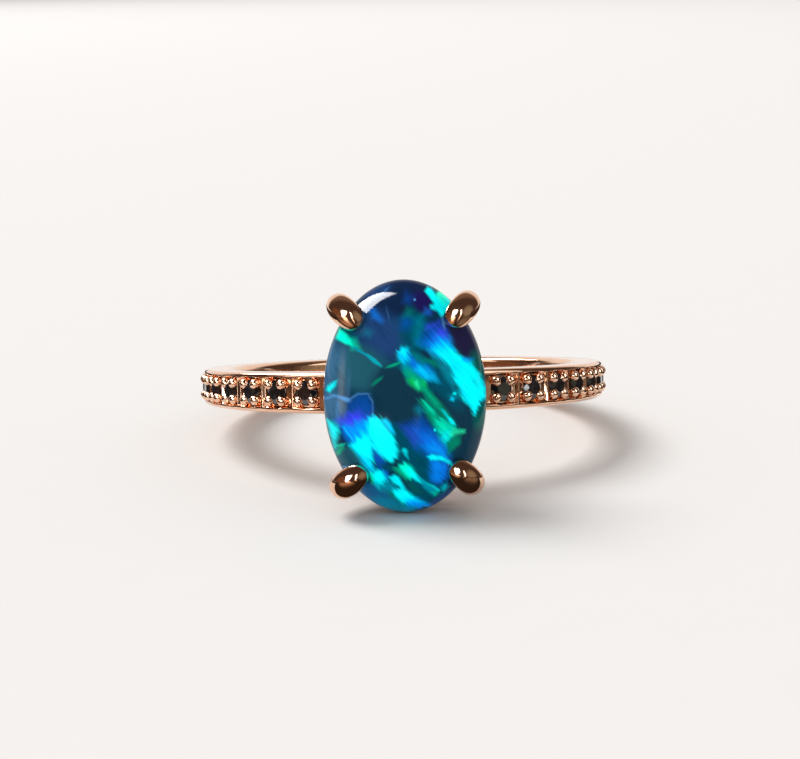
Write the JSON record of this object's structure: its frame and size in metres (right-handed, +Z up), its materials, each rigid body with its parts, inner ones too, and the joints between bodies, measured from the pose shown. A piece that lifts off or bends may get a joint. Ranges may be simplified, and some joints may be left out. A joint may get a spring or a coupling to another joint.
{
  "type": "opal ring",
  "caption": "Rose gold finger ring: an oval black opal cabochon held by claws on a slim band whose shoulders are bead-set with small round black diamonds.",
  "frame": {"origin": "on the surface that the ring lies on, at the centre of its box", "axes": "+Z up from that surface; -Y the way the opal faces; +X to the right seen from in front of the opal. The finger axis leans 10.5 degrees back from +Z."},
  "size_m": [0.02, 0.0246, 0.0099],
  "materials": {
    "rose_gold": "polished rose gold, faint polishing marks",
    "black_opal": "polished dark opal with cyan, green and blue flashes",
    "black_diamond": "polished opaque black facets"
  },
  "bodies": {
    "root": {"band_and_setting": "rose_gold", "opal": "black_opal", "black_diamond_left_1": "black_diamond", "black_diamond_left_2": "black_diamond", "black_diamond_left_3": "black_diamond", "black_diamond_left_4": "black_diamond", "black_diamond_left_5": "black_diamond", "black_diamond_left_6": "black_diamond", "black_diamond_left_7": "black_diamond", "black_diamond_right_1": "black_diamond", "black_diamond_right_2": "black_diamond", "black_diamond_right_3": "black_diamond", "black_diamond_right_4": "black_diamond", "black_diamond_right_5": "black_diamond", "black_diamond_right_6": "black_diamond", "black_diamond_right_7": "black_diamond"}
  },
  "joints": []
}
